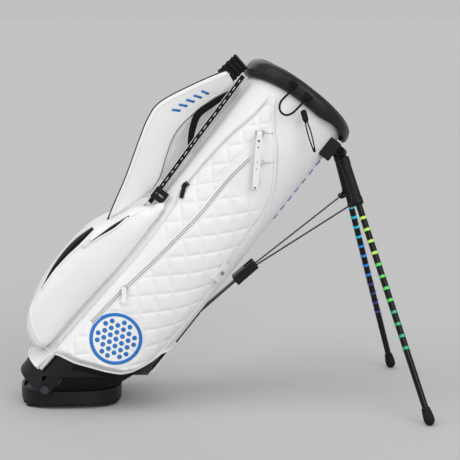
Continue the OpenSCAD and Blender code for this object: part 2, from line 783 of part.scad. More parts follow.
slot_front = bar_rest_x;
slot_back = hinge_x + rod_u;
slot_drop = 3.6;            // room under the crossbar, which sinks a little as the legs fold
module rod_bracket() {
    color(black) for (s = [-1, 1]) difference() {
        y = s > 0 ? 9 : -14;
        translate([slot_back - 14, y, sole_top]) cube([slot_front - slot_back + 28, 5, 40]);
        translate([slot_back - 5, y - 1, hinge_z + rod_h - pin_r - slot_drop])
            cube([slot_front - slot_back + 10, 7, 2 * pin_r + 6 + slot_drop]);
    }
}

panel_right();
panel_left();
panel_spine();
panel_underside();
divider_frame();
divider_panels();
top_cuff();
base_collar();
tube_floor();
base_gusset();
pocket_right();
pocket_left();
ball_pocket();
valuables_pocket();
round_patch();
zip_tapes_sides();
zip_tapes_ball();
zip_tapes_valuables();
slider_right();
slider_left();
slider_upper();
slider_ball();
slider_valuables_top();
slider_valuables_low();
pull_right();
pull_left();
pull_upper();
pull_ball();
pull_valuables_top();
pull_valuables_low();
strap_right();
strap_left();
strap_hub();
strap_webbing();
webbing_buckle();
towel_tabs();
towel_cord();
toggle_puller();
keeper_strap();
keeper_rivet();
leg_bracket();
leg_pins();
rod_guide();
slide_rod();
spring_rod();
fork_connector();
fork_wire_right();
fork_wire_left();
leg_housing_right();
leg_housing_left();
leg_tube_right();
leg_tube_left();
leg_bands_right();
leg_bands_left();
foot_right();
foot_left();
sole_plate();
sole_treads();
sole_hinge_pins();
rod_bracket();
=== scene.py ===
"""Golf stand bag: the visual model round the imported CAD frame, in metres."""
import json
import math

import bmesh
import bpy
import numpy as np
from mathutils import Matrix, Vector, noise
from mathutils.bvhtree import BVHTree


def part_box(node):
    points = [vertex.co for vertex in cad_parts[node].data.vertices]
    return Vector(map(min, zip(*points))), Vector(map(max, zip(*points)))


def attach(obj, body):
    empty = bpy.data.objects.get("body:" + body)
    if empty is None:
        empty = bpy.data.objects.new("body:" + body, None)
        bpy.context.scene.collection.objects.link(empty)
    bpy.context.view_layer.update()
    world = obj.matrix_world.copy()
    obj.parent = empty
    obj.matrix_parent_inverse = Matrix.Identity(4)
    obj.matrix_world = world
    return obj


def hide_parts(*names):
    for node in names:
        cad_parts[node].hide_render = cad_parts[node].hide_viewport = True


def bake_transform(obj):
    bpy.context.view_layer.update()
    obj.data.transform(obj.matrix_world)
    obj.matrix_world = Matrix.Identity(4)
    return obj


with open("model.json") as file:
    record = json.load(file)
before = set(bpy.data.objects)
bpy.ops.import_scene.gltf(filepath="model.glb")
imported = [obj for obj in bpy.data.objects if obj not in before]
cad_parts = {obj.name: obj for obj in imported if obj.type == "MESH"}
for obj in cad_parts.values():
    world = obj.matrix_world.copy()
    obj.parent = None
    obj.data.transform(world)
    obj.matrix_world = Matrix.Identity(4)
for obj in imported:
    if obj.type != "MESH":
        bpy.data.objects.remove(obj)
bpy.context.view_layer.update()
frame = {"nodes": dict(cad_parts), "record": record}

SCENE = bpy.context.scene

# ---- the bag's own frame, in millimetres: u to the underside, v to the left, w along the tube ----
MM = 0.001
LEAN = math.radians(38.5)
COS, SIN = math.cos(LEAN), math.sin(LEAN)
HINGE = np.array((-370.5, 0.0, 44.0))
TURN = np.array(((COS, 0.0, SIN), (0.0, 1.0, 0.0), (-SIN, 0.0, COS)))
TUBE_R, TUBE_N, TUBE_U, TUBE_TOP, WALL = 115.0, 2.4, 50.0, 800.0, 4.0
RIGHT, LEFT = -1, 1


def row(points):
    """Bag-frame millimetres to metres in the shared frame."""
    return (np.asarray(points, float) @ TURN.T + HINGE) * MM


def power(value, index):
    return np.sign(value) * np.abs(value) ** index


def section(angle, r, n=TUBE_N):
    """Point of the tube's section; 0 degrees is the underside and 180 the spine."""
    a = np.radians(angle)
    return TUBE_U + r * power(np.cos(a), 2 / n), r * power(np.sin(a), 2 / n)


def skin(side, angle, w, off=0.0):
    u, v = section(angle, TUBE_R + off)
    return row(np.stack(np.broadcast_arrays(u, side * v, w), -1))


def smoothstep(x):
    x = np.clip(x, 0, 1)
    return x * x * (3 - 2 * x)


def smooth_path(points, step, closed=False):
    """Catmull-Rom curve through the points, with even steps along it."""
    p = np.asarray(points, float)
    n = len(p)
    dense = []
    for i in range(n if closed else n - 1):
        if closed:
            a, b, c, d = (p[(i + k) % n] for k in (-1, 0, 1, 2))
        else:
            a, b, c, d = p[max(i - 1, 0)], p[i], p[i + 1], p[min(i + 2, n - 1)]
        for t in np.linspace(0, 1, 24, endpoint=False):
            dense.append(
                0.5 * (2 * b + (c - a) * t + (2 * a - 5 * b + 4 * c - d) * t * t
                       + (3 * b - a - 3 * c + d) * t ** 3)
            )
    dense.append(p[0] if closed else p[-1])
    dense = np.array(dense)
    run = np.concatenate(([0], np.cumsum(np.linalg.norm(np.diff(dense, axis=0), axis=1))))
    count = max(2, int(round(run[-1] / step)) + 1)
    at = np.linspace(0, run[-1], count)
    out = np.stack([np.interp(at, run, dense[:, k]) for k in range(p.shape[1])], -1)
    return out[:-1] if closed else out


def resample(points, count):
    p = smooth_path(points, np.linalg.norm(np.ptp(points, axis=0)) / 400)
    at = np.linspace(0, len(p) - 1, count)
    return np.stack([np.interp(at, np.arange(len(p)), p[:, k]) for k in range(p.shape[1])], -1)


# ---- materials ----
def shader(name, colour, rough, metal=0.0, sheen=0.0, coat=0.0):
    dark = max(colour) < 0.05 and not metal
    mat = bpy.data.materials.new(name)
    mat.use_nodes = True
    bsdf = mat.node_tree.nodes["Principled BSDF"]
    bsdf.inputs["Base Color"].default_value = (*colour, 1)
    bsdf.inputs["Roughness"].default_value = rough
    bsdf.inputs["Metallic"].default_value = metal
    bsdf.inputs["Sheen Weight"].default_value = sheen
    bsdf.inputs["Coat Weight"].default_value = coat
    bsdf.inputs["Coat Roughness"].default_value = 0.2
    bsdf.inputs["Specular IOR Level"].default_value = 0.22 if dark else 0.45
    return mat, mat.node_tree.nodes, mat.node_tree.links, bsdf


def texture(nodes, links, kind, scale, coord, **inputs):
    node = nodes.new(kind)
    links.new(coord, node.inputs["Vector"])
    node.inputs["Scale"].default_value = scale
    for key, value in inputs.items():
        node.inputs[key].default_value = value
    return node


def ramp(nodes, links, source, stops):
    node = nodes.new("ShaderNodeValToRGB")
    links.new(source, node.inputs["Fac"])
    elements = node.color_ramp.elements
    while len(elements) < len(stops):
        elements.new(0.5)
    for element, (at, colour) in zip(elements, stops):
        element.position = at
        element.color = (*colour, 1)
    return node


def math_node(nodes, links, operation, a, b):
    node = nodes.new("ShaderNodeMath")
    node.operation = operation
    for slot, value in zip(node.inputs, (a, b)):
        if isinstance(value, (int, float)):
            slot.default_value = value
        else:
            links.new(value, slot)
    return node.outputs[0]


def finish_material(mat, nodes, links, bsdf, colour, height, distance, strength, rough, vary=0.06, scale=14.0):
    """Adds soft colour and roughness variation, and bump from a height value."""
    coord = nodes.new("ShaderNodeTexCoord").outputs["Object"]
    patches = texture(nodes, links, "ShaderNodeTexNoise", scale, coord, Detail=5.0)
    darker = tuple(c * (1 - vary) for c in colour)
    lighter = tuple(min(1.0, c * (1 + 0.35 * vary)) for c in colour)
    tint = ramp(nodes, links, patches.outputs["Fac"], [(0.3, darker), (0.7, lighter)])
    links.new(tint.outputs["Color"], bsdf.inputs["Base Color"])
    spread = math_node(nodes, links, "MULTIPLY", patches.outputs["Fac"], 0.16)
    links.new(math_node(nodes, links, "ADD", spread, rough - 0.08), bsdf.inputs["Roughness"])
    bump = nodes.new("ShaderNodeBump")
    bump.inputs["Distance"].default_value = distance
    bump.inputs["Strength"].default_value = strength
    links.new(height, bump.inputs["Height"])
    links.new(bump.outputs["Normal"], bsdf.inputs["Normal"])
    return mat


def leather(name, colour, rough=0.5, grain=520.0, strength=0.35, coat=0.06):
    mat, nodes, links, bsdf = shader(name, colour, rough, coat=coat)
    coord = nodes.new("ShaderNodeTexCoord").outputs["Object"]
    pebbles = texture(nodes, links, "ShaderNodeTexVoronoi", grain, coord)
    creases = texture(nodes, links, "ShaderNodeTexNoise", 90.0, coord, Detail=6.0)
    height = math_node(nodes, links, "ADD", pebbles.outputs["Distance"], creases.outputs["Fac"])
    return finish_material(mat, nodes, links, bsdf, colour, height, 0.0004, strength, rough, 0.035, 9.0)


def weave(name, colour, rough=0.8, pitch=900.0, sheen=0.25):
    mat, nodes, links, bsdf = shader(name, colour, rough, sheen=sheen)
    coord = nodes.new("ShaderNodeTexCoord").outputs["Object"]
    threads = []
    for axis in ("X", "Z"):
        wave = texture(nodes, links, "ShaderNodeTexWave", pitch / 6.3, coord, Distortion=0.4)
        wave.bands_direction = axis
        threads.append(wave.outputs["Fac"])
    height = math_node(nodes, links, "MAXIMUM", *threads)
    return finish_material(mat, nodes, links, bsdf, colour, height, 0.0005, 0.6, rough, 0.25, 40.0)


def moulded(name, colour, rough=0.45, scale=700.0, strength=0.2, vary=0.2):
    mat, nodes, links, bsdf = shader(name, colour, rough)
    coord = nodes.new("ShaderNodeTexCoord").outputs["Object"]
    grit = texture(nodes, links, "ShaderNodeTexNoise", scale, coord, Detail=3.0)
    return finish_material(mat, nodes, links, bsdf, colour, grit.outputs["Fac"], 0.0003, strength, rough, vary)


def brushed(name, colour, rough=0.32):
    mat, nodes, links, bsdf = shader(name, colour, rough, metal=1.0)
    coord = nodes.new("ShaderNodeTexCoord").outputs["Object"]
    lines = texture(nodes, links, "ShaderNodeTexWave", 300.0, coord, Distortion=2.0, Detail=3.0)
    return finish_material(mat, nodes, links, bsdf, colour, lines.outputs["Fac"], 0.0001, 0.25, rough, 0.12)


def banded(name, direction, start, end, colours):
    """Enamel whose colour steps along a leg, from its top to its foot."""
    mat, nodes, links, bsdf = shader(name, colours[0], 0.3, coat=0.4)
    coord = nodes.new("ShaderNodeTexCoord").outputs["Object"]
    dot = nodes.new("ShaderNodeVectorMath")
    dot.operation = "DOT_PRODUCT"
    links.new(coord, dot.inputs[0])
    dot.inputs[1].default_value = direction
    span = nodes.new("ShaderNodeMapRange")
    span.inputs["From Min"].default_value = start
    span.inputs["From Max"].default_value = end
    links.new(dot.outputs["Value"], span.inputs["Value"])
    stops = [(i / len(colours), c) for i, c in enumerate(colours)]
    tint = ramp(nodes, links, span.outputs["Result"], stops)
    tint.color_ramp.interpolation = "CONSTANT"
    links.new(tint.outputs["Color"], bsdf.inputs["Base Color"])
    return mat


WHITE = leather("white_leather_skin", (0.80, 0.805, 0.80))
WHITE_TRIM = leather("white_trim_skin", (0.84, 0.84, 0.83), 0.45, 800.0, 0.2)
CUFF = leather("black_padded_skin", (0.012, 0.012, 0.014), 0.36, 430.0, 0.5, 0.05)
BLACK_CLOTH = weave("black_cloth", (0.003, 0.003, 0.004), 0.85, 900.0, 0.0)
WEBBING = weave("black_webbing_weave", (0.005, 0.005, 0.006), 0.7, 2200.0, 0.0)
CORD = weave("black_braid", (0.005, 0.005, 0.006), 0.7, 3000.0, 0.0)
PLASTIC = moulded("black_moulded", (0.007, 0.007, 0.009))
RUBBER = moulded("black_rubber_skin", (0.006, 0.006, 0.007), 0.68, 420.0, 0.4)
ENAMEL = moulded("black_enamel", (0.006, 0.006, 0.007), 0.2, 300.0, 0.03)
WHITE_PLASTIC = moulded("white_moulded", (0.82, 0.82, 0.81), 0.35, 500.0, 0.06, 0.03)
ZIP_GREY = weave("light_zip_tape", (0.56, 0.56, 0.55), 0.7, 1800.0, 0.1)
STEEL = brushed("brushed_steel_skin", (0.38, 0.39, 0.41))
DARK_STEEL = brushed("dark_steel_skin", (0.07, 0.07, 0.08), 0.38)
SILVER = brushed("bright_slider", (0.72, 0.74, 0.77), 0.28)
BLUE = moulded("blue_print", (0.012, 0.17, 0.56), 0.45, 600.0, 0.15, 0.08)


# ---- mesh building ----
def add_piece(name, verts, faces, mats, body="bag", face_mats=None, replaces=()):
    mesh = bpy.data.meshes.new(name)
    mesh.from_pydata([tuple(map(float, v)) for v in verts], [], [tuple(map(int, f)) for f in faces])
    if face_mats is not None:
        mesh.polygons.foreach_set("material_index", np.asarray(face_mats, np.int32))
    work = bmesh.new()
    work.from_mesh(mesh)
    bmesh.ops.recalc_face_normals(work, faces=work.faces)
    work.to_mesh(mesh)
    work.free()
    mesh.polygons.foreach_set("use_smooth", [True] * len(mesh.polygons))
    piece = bpy.data.objects.new(name, mesh)
    SCENE.collection.objects.link(piece)
    for mat in mats if isinstance(mats, (list, tuple)) else [mats]:
        mesh.materials.append(mat)
    if body:
        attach(piece, body)
    if replaces:
        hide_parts(*replaces)
    return piece


def grid_faces(rows, cols, wrap_rows=False, wrap_cols=False, base=0):
    i, j = np.meshgrid(
        np.arange(rows if wrap_rows else rows - 1), np.arange(cols if wrap_cols else cols - 1), indexing="ij"
    )
    i, j = i.ravel(), j.ravel()
    i2, j2 = (i + 1) % rows, (j + 1) % cols
    return (np.stack((i * cols + j, i * cols + j2, i2 * cols + j2, i2 * cols + j), -1) + base).tolist()


def thick_patch(front, back, wrap_rows=False):
    """Closed solid between two grids of points."""
    rows, cols = front.shape[:2]
    n = rows * cols
    verts = np.concatenate((front.reshape(-1, 3), back.reshape(-1, 3)))
    faces = grid_faces(rows, cols, wrap_rows)
    faces += [f[::-1] for f in grid_faces(rows, cols, wrap_rows, base=n)]
    edges = []
    span = range(rows if wrap_rows else rows - 1)
    for i in span:
        k = (i + 1) % rows
        edges += [(i * cols, k * cols), (k * cols + cols - 1, i * cols + cols - 1)]
    if not wrap_rows:
        for j in range(cols - 1):
            edges += [(j + 1, j), ((rows - 1) * cols + j, (rows - 1) * cols + j + 1)]
    faces += [(a, b, b + n, a + n) for a, b in edges]
    return verts, faces


def frames(path, closed=False):
    """Tangent and two steady cross directions at each point of a path."""
    p = np.asarray(path, float)
    if closed:
        run = np.roll(p, -1, 0) - np.roll(p, 1, 0)
    else:
        run = np.gradient(p, axis=0)
    run /= np.maximum(np.linalg.norm(run, axis=1, keepdims=True), 1e-12)
    first = np.cross(run[0], (0.0, 1.0, 0.0))
    if np.linalg.norm(first) < 0.2:
        first = np.cross(run[0], (1.0, 0.0, 0.0))
    across = [first / np.linalg.norm(first)]
    for t in run[1:]:
        a = across[-1] - t * (across[-1] @ t)
        across.append(a / np.linalg.norm(a))
    across = np.array(across)
    return run, across, np.cross(run, across)


class Batch:
    """Many small shapes gathered into one piece."""

    def __init__(self):
        self.verts, self.faces, self.marks = [], [], []

    def add(self, verts, faces, mark=0):
        base = len(self.verts)
        self.verts += [tuple(v) for v in verts]
        self.faces += [tuple(i + base for i in f) for f in faces]
        self.marks += [mark] * len(faces)

    def tube(self, path, radius, sides=8, closed=False, mark=0, flat=1.0):
        p = np.asarray(path, float)
        if len(p) < 2:
            return
        _, a, b = frames(p, closed)
        turn = np.linspace(0, 2 * math.pi, sides, endpoint=False)
        radii = np.broadcast_to(np.asarray(radius, float), (len(p),))[:, None, None]
        ring = a[:, None] * np.cos(turn)[None, :, None] + flat * b[:, None] * np.sin(turn)[None, :, None]
        verts = (p[:, None] + radii * ring).reshape(-1, 3)
        faces = grid_faces(len(p), sides, closed, True)
        if not closed:
            last = (len(p) - 1) * sides
            faces += [tuple(range(sides))[::-1], tuple(last + k for k in range(sides))]
        self.add(verts, faces, mark)

    def patch(self, front, back, mark=0):
        self.add(*thick_patch(front, back), mark)

    def make(self, name, mats, body="bag", slot=None, replaces=()):
        return add_piece(name, self.verts, self.faces, mats, body, self.marks, replaces)


def finish_node(node, mat):
    """Gives a shown CAD node its procedural material."""
    piece = frame["nodes"][node]
    piece.data.materials.clear()
    piece.data.materials.append(mat)


# ---- camera ----
lens = bpy.data.cameras.new("camera")
lens.lens = 128.74
lens.sensor_width = 36.0
camera = bpy.data.objects.new("camera", lens)
SCENE.collection.objects.link(camera)
camera.location = (-0.1589, -3.4792, 0.8546)
aim = Vector((0.0225, -0.018, 0.3675)) - camera.location
camera.rotation_euler = aim.to_track_quat("-Z", "Y").to_euler()
SCENE.camera = camera

# ---- towel loop: a short free cord between two tabs ----
TOWEL = np.array([
    (143, -134, 676), (138, -137, 666), (127, -139, 656), (119, -140, 646), (117, -140, 635), (121, -140, 625),
    (131, -140, 620), (143, -140, 624), (153, -139, 633), (163, -137, 643), (171, -134, 651)], float)
towel_path = smooth_path(TOWEL, 2.0) * MM
towel = Batch()
towel.tube(towel_path, 2.2 * MM, 12)
towel_loop = towel.make("towel_loop", CORD, slot="black_cord", replaces=("towel_cord",))

# ---- tube shell ----
# Lower edge of the white body: heights EDGE_W over EDGE_U. The nine points from u = -18 to u = 146 are a
# scratch program's conversion of points picked on the photo.
EDGE_U = (-70, -37, -36, -18, 14, 44, 74, 103, 118, 129, 139, 146, 170)
EDGE_W = (23, 23, 68, 77, 86, 99, 111, 125, 140, 159, 180, 205, 228)


def bottom(u):
    """Height of the white body's lower edge along the tube."""
    return np.interp(u, EDGE_U, EDGE_W)


def wrinkle(points, scale, seed=0.0):
    """Gentle noise, one value for each point in metres."""
    flat = np.asarray(points, float).reshape(-1, 3)
    values = [noise.noise(Vector((x * scale + seed, y * scale, z * scale))) for x, y, z in flat]
    return np.array(values).reshape(np.asarray(points).shape[:-1])


angles = np.arange(0, 360, 2.0)[:, None]
steps_w = np.linspace(0, 1, 150)[None, :]
shell_u, shell_v = section(angles, TUBE_R)
low = bottom(shell_u)
shell_top = TUBE_TOP + 14 * np.abs(np.sin(np.radians(angles))) ** 1.6
shell_w = low + (shell_top - low) * steps_w
outer = row(np.stack(np.broadcast_arrays(shell_u, shell_v, shell_w), -1))
from_front = np.minimum(angles, 360 - angles)
folds = wrinkle(outer, 13.0) * 1.5 * smoothstep((from_front - 38) / 20)
u_in, v_in = section(angles, TUBE_R - WALL)
u_out, v_out = section(angles, TUBE_R + folds)
outer = row(np.stack(np.broadcast_arrays(u_out, v_out, shell_w), -1))
inner = row(np.stack(np.broadcast_arrays(u_in, v_in, shell_w), -1))
verts, faces = thick_patch(outer, inner, True)
shell = add_piece(
    "tube_shell", verts, faces, WHITE,
    replaces=("panel_right", "panel_left", "panel_spine", "panel_underside"),
)

# ---- quilted side panels ----
# Seams as (place along the tube, angle), and a zip as (place along the tube, u). SEAM_D's angles are a scratch
# program's fit to points picked on the photo. ZIP_B is such a program's output as it came, and SEAM_A is
# mostly worked out from it. None of them is a hand-drawn outline.
SEAM_D = ((0, 45), (207, 44.9), (241, 41.7), (275, 41), (340, 41), (404, 44.1), (466, 47.6), (530, 49.1),
          (592, 52.1), (617, 58.6), (640, 66.1), (660, 74.5), (723, 94.6), (781, 114.8))
SEAM_A = ((0, 134), (73, 134), (204, 130), (297, 126), (358, 124), (472, 127), (503, 131), (566, 131),
          (655, 126.6), (719, 118.5), (776, 117))
ZIP_B = ((178, -12), (262, -4), (347, 8), (434, 18), (492, 24), (588, 26), (645, 33))
QUILT = 36.0
PANEL_TOP = 776
PATCH_AT, PATCH_R = (47.0, 183.0), 55.0
ARC_ANGLES = np.arange(0, 181.0)
ARC_POINTS = np.stack(section(ARC_ANGLES, TUBE_R + 12), -1)
ARC_LENGTH = np.concatenate(([0], np.cumsum(np.linalg.norm(np.diff(ARC_POINTS, axis=0), axis=1))))


def table(pairs, at):
    xs, ys = zip(*pairs)
    return np.interp(at, xs, ys)


def soft_table(pairs, at, blur=12.0):
    return sum(table(pairs, at + d * blur) for d in (-2, -1, 0, 1, 2)) / 5


def fullness(w):
    """How far the side panel stands out at its middle."""
    upper = smoothstep((790 - w) / 160) * smoothstep((w - 380) / 160)
    return 2 + 15.5 * smoothstep((560 - w) / 190) + 5.5 * upper


def side_panel(side):
    rows, cols = 130, 380
    f = np.linspace(0, 1, rows)[:, None]
    t = np.linspace(0, 1, cols)[None, :]
    w = 75 + (PANEL_TOP - 75) * t + 0 * f
    for _ in range(3):
        a = soft_table(SEAM_D, w) * (1 - f) + soft_table(SEAM_A, w) * f
        u, _ = section(a, TUBE_R + 12)
        start = bottom(u) + 5
        w = start + (PANEL_TOP - start) * t
    arc = np.interp(a, ARC_ANGLES, ARC_LENGTH)
    arc_d = np.interp(soft_table(SEAM_D, w), ARC_ANGLES, ARC_LENGTH)
    arc_a = np.interp(soft_table(SEAM_A, w), ARC_ANGLES, ARC_LENGTH)
    edge = np.minimum(np.minimum(arc - arc_d, arc_a - arc), np.minimum(w - start, PANEL_TOP - w))
    bulge = fullness(w) * np.sin(np.radians(180 * np.clip((a - 40) / 98, 0, 1))) ** 0.55
    p, q = (arc + w) / math.sqrt(2), (arc - w) / math.sqrt(2)
    to_line = np.minimum(*(QUILT / 2 - np.abs(x % QUILT - QUILT / 2) for x in (p, q)))
    pillow = 0.75 * (1 - np.exp(-((to_line / 3.6) ** 1.5))) + 0.25 * smoothstep(to_line / (QUILT / 2))
    to_zip = u - table(ZIP_B, w)
    in_zip = smoothstep((w - 170) / 12) * smoothstep((655 - w) / 12)
    mask = smoothstep((edge - 3) / 9) * (1 - in_zip * smoothstep((13 - np.abs(to_zip)) / 6))
    mask *= 1 - smoothstep(-to_zip / 6) * smoothstep((430 - w) / 40)
    if side == RIGHT:
        around = np.hypot(u - PATCH_AT[0], w - PATCH_AT[1])
        mask *= smoothstep((around - PATCH_R) / 6)
        plain = smoothstep((u - (-62 + 0.115 * w - 8)) / 8) * smoothstep((w - 560) / 25)
        mask *= 1 - plain
    groove = -2.6 * np.exp(-((to_zip / 5.0) ** 2)) * in_zip
    off = bulge * smoothstep((edge + 2) / 16) ** 0.6 + 1.0 + 2.3 * pillow * mask + groove
    front = skin(side, a, w, off)
    off = off + 1.0 * wrinkle(front, 16.0, 5.0) * smoothstep(edge / 20)
    front = skin(side, a, w, off)
    back = skin(side, a, w, -1.5)
    name = "right" if side == RIGHT else "left"
    stands_for = ("pocket_right", "valuables_pocket") if side == RIGHT else ("pocket_left",)
    verts, faces = thick_patch(front, back)
    return add_piece("side_pocket_" + name, verts, faces, WHITE, replaces=stands_for)


panels = {side: side_panel(side) for side in (RIGHT, LEFT)}

# ---- ball pocket: a closed pad that hugs the tube ----
BALL_OUTLINE = np.array([
    (-60, 52), (-88, 62), (-106, 80), (-120, 102), (-130, 134), (-135, 165), (-137, 225), (-133, 280),
    (-125, 322), (-112, 352), (-97, 382), (-86, 410), (-72, 430), (-54, 446), (-47, 468), (-30, 470),
    (-28, 430), (-28, 358), (-31, 297), (-38, 204), (-44, 111), (-46, 72)], float)
BALL_SIDE = 99.0


def clear_of_tube(p, r):
    """Pushes bag-frame points out to the tube's surface."""
    d = np.stack((p[..., 0] - TUBE_U, p[..., 1]), -1)
    size = (np.abs(d) ** TUBE_N).sum(-1) ** (1 / TUBE_N)
    scale = np.where(size < r, r / np.maximum(size, 1e-6), 1.0)
    out = p.copy()
    out[..., 0] = TUBE_U + d[..., 0] * scale
    out[..., 1] = d[..., 1] * scale
    return out


def ball_pocket():
    ring = smooth_path(BALL_OUTLINE, 9.0, True)
    middle = np.array((-78.0, 255.0))
    rounding = 24.0
    stations = []
    for v in np.linspace(0, BALL_SIDE - rounding, 10)[:-1]:
        stations.append((v, 1.0))
    for a in np.linspace(0, 80, 8):
        s, c = math.sin(math.radians(a)), math.cos(math.radians(a))
        stations.append((BALL_SIDE - rounding + rounding * s, 1 - 0.13 * (1 - c)))
    stations += [(BALL_SIDE + 3.5, 0.62), (BALL_SIDE + 5.5, 0.3), (BALL_SIDE + 6, 0.06)]
    stations = [(-v, k) for v, k in stations[::-1]] + stations[1:]
    grid = np.array([
        np.column_stack((middle[0] + (ring[:, 0] - middle[0]) * k, np.full(len(ring), v),
                         middle[1] + (ring[:, 1] - middle[1]) * k)) for v, k in stations])
    grid = clear_of_tube(grid, TUBE_R + 0.8)
    rows, cols = grid.shape[:2]
    faces = grid_faces(rows, cols, False, True)
    faces += [tuple(range(cols)), tuple((rows - 1) * cols + k for k in range(cols))[::-1]]
    return add_piece(
        "ball_pocket_pad", row(grid.reshape(-1, 3)), faces, WHITE, replaces=("ball_pocket",))


def inflate(piece, voxel, pressure, cap, frames_run=20):
    """Swells a closed pad by cloth simulation, with a cap on each point's move."""
    remesh = piece.modifiers.new("remesh", "REMESH")
    remesh.mode = "VOXEL"
    remesh.voxel_size = voxel
    graph = bpy.context.evaluated_depsgraph_get()
    fresh = bpy.data.meshes.new_from_object(piece.evaluated_get(graph))
    piece.modifiers.clear()
    piece.data = fresh
    cloth = piece.modifiers.new("cloth", "CLOTH")
    settings = cloth.settings
    settings.use_pressure = True
    settings.uniform_pressure_force = pressure
    settings.effector_weights.gravity = 0.0
    cloth.point_cache.frame_start, cloth.point_cache.frame_end = 1, frames_run
    rest = np.array([v.co for v in fresh.vertices])
    for number in range(1, frames_run + 1):
        SCENE.frame_set(number)
    graph = bpy.context.evaluated_depsgraph_get()
    swollen = piece.evaluated_get(graph).to_mesh()
    move = np.array([v.co for v in swollen.vertices]) - rest
    size = np.maximum(np.linalg.norm(move, axis=1, keepdims=True), 1e-9)
    move *= np.minimum(1.0, cap / size)
    piece.modifiers.clear()
    fresh.vertices.foreach_set("co", (rest + move).astype(np.float32).ravel())
    fresh.polygons.foreach_set("use_smooth", [True] * len(fresh.polygons))
    fresh.update()
    SCENE.frame_set(1)


def subdivide(piece, levels=1):
    smooth = piece.modifiers.new("smooth", "SUBSURF")
    smooth.levels = smooth.render_levels = levels


ball = ball_pocket()
inflate(ball, 0.006, 3.0, 0.006)
points = np.array([v.co for v in ball.data.vertices]) / MM - HINGE
points = clear_of_tube(points @ TURN, TUBE_R + 0.8)
ball.data.vertices.foreach_set("co", row(points).astype(np.float32).ravel())
ball.data.update()
subdivide(ball)

# ---- lines sewn and piped onto the sides ----
def surface_tree(objects):
    graph = bpy.context.evaluated_depsgraph_get()
    verts, faces = [], []
    for o in objects:
        mesh = o.evaluated_get(graph).to_mesh()
        base = len(verts)
        verts += [v.co.copy() for v in mesh.vertices]
        faces += [tuple(i + base for i in p.vertices) for p in mesh.polygons]
    return BVHTree.FromPolygons(verts, faces)


TREE = surface_tree([shell, ball, *panels.values()])


def cast(u, w, side, lift=0.0):
    """Point on the bag's side over (u, w), in metres, lifted along the surface normal."""
    start = row((u, side * 300.0, w))
    hit, normal, _, _ = TREE.ray_cast(Vector(start), Vector((0.0, -float(side), 0.0)))
    if hit is None:
        return None
    if normal.y * side < 0:
        normal = -normal
    return np.array(hit + normal * lift * MM)


# v of the plane that sight() measures on. Shapes placed by sight() depend on where the camera stands.
SIGHT_PLANE = -60.0


def sight(u, w, lift=0.0):
    """Point on the right side that the camera sees in line with (u, w) of a plane beside the tube."""
    eye = Vector(camera.location)
    way = (Vector(row((u, SIGHT_PLANE, w))) - eye).normalized()
    hit, normal, _, _ = TREE.ray_cast(eye, way)
    if hit is None:
        return None
    if normal.dot(way) > 0:
        normal = -normal
    return np.array(hit + normal * lift * MM)


def on_side(points, side, lift=0.0, step=4.0, closed=False):
    found = [cast(u, w, side, lift) for u, w in smooth_path(points, step, closed)]
    return np.array([f for f in found if f is not None])


def relax(path, closed=False):
    """Takes small jitter out of a projected line."""
    p = path.copy()
    for _ in range(3):
        if closed:
            p = (np.roll(p, 1, 0) + 2 * p + np.roll(p, -1, 0)) / 4
        else:
            p[1:-1] = (p[:-2] + 2 * p[1:-1] + p[2:]) / 4
    return p


def offset_line(points, shift):
    """A (u, w) line moved sideways."""
    p = smooth_path(points, 8.0)
    run = np.gradient(p, axis=0)
    run /= np.linalg.norm(run, axis=1, keepdims=True)
    return p + np.column_stack((run[:, 1], -run[:, 0])) * shift


def seam_line(pairs, r, start, end, count=16):
    ws = np.linspace(start, end, count)
    us, _ = section(soft_table(pairs, ws), r)
    return np.column_stack((us, ws))


piping = Batch()
for side in (RIGHT, LEFT):
    seam_d = seam_line(SEAM_D, TUBE_R + 3, 160, 774, 40)
    seam_a = seam_line(SEAM_A, TUBE_R + 8, 90, 500, 26)
    seam_c = seam_line(SEAM_A, TUBE_R + 3, 500, 774, 20)
    for shift, radius in ((-1.0, 1.9), (5.0, 1.5)):
        piping.tube(relax(on_side(offset_line(seam_d, shift), side, 0.3)), radius * MM)
    for shift in (-3.2, 3.2):
        piping.tube(relax(on_side(offset_line(seam_c, shift), side, 0.2)), 1.5 * MM)
        beside_zip = offset_line([(u, w) for w, u in ZIP_B], shift * 1.5)
        piping.tube(relax(on_side(beside_zip, side, 0.2)), 1.7 * MM)
    piping.tube(relax(on_side(seam_a, side, 0.4)), 1.8 * MM)
rim_angles = np.arange(9, 352, 3.0)
rim = np.concatenate([skin(1, a, bottom(section(a, TUBE_R)[0]) + 2, 1.4)[None] for a in rim_angles])
piping.tube(rim, 2.6 * MM, 10)
piping.make("edge_piping", WHITE_TRIM, slot="white_leather")

# (u, w) points on the sight plane, converted from the photo by a scratch program and partly edited.
PANEL_EDGE = [
    (-40, 63), (-64, 67), (-91, 78), (-117, 100), (-128, 119), (-131, 139), (-132, 165), (-133, 205), (-131, 244),
    (-126, 278), (-120, 303), (-103, 323), (-91, 353), (-83, 387), (-74, 412), (-62, 434), (-52, 450)]
ball_piping = Batch()
edge_points = [sight(u, w, 0.5) for u, w in smooth_path(PANEL_EDGE, 4.0)]
edge_points = relax(np.array([p for p in edge_points if p is not None]))
for mirror in ((1, 1, 1), (1, -1, 1)):
    ball_piping.tube(edge_points * mirror, 1.8 * MM)
ball_piping.make("ball_pocket_piping", WHITE_TRIM, slot="white_leather")

# ---- zips ----
def crescent(one, other, lift, count=70, across=9):
    a, b = resample(np.array(one, float), count), resample(np.array(other, float), count)
    front = np.zeros((count, across, 3))
    for j in range(across):
        line = [sight(u, w, lift) for u, w in a + (b - a) * j / (across - 1)]
        last = next(p for p in line if p is not None)
        for i, p in enumerate(line):
            last = p if p is not None else last
            front[i, j] = last
    return front


